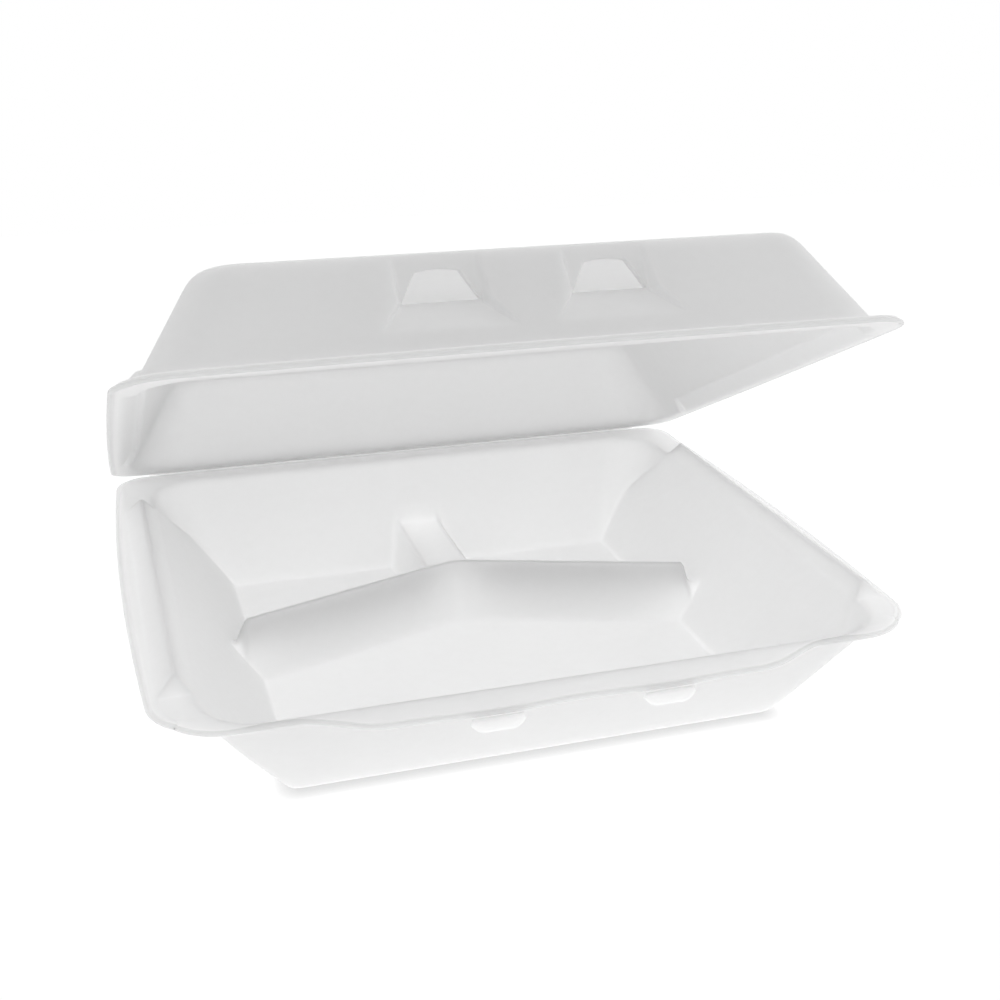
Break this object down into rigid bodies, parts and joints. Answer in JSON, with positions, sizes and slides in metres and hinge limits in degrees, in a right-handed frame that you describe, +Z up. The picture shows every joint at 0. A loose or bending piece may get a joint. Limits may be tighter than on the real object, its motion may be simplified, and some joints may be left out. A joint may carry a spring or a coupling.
{
  "type": "foam clamshell container",
  "caption": "White foam takeaway container: tapered tray split by a Y-shaped divider, with a hinged domed lid whose front slots take latch tabs on the tray's lip.",
  "frame": {"origin": "centre of the tray's flat underside", "axes": "+Z up, +Y towards the hinge at the back, -Y towards the front lip, +X across the width"},
  "size_m": [0.2668, 0.2456, 0.1688],
  "materials": {
    "foam": "matte white expanded foam with a fine cell texture"
  },
  "bodies": {
    "tray": {"base_tray": "foam"},
    "lid": {"lid": "foam"}
  },
  "joints": [
    {"name": "lid_hinge", "type": "hinge", "parent": "tray", "child": "lid", "pos_m": [0, 0.117, 0.04315], "axis": [-1, 0, 0], "range_deg": [-26, 154]}
  ]
}
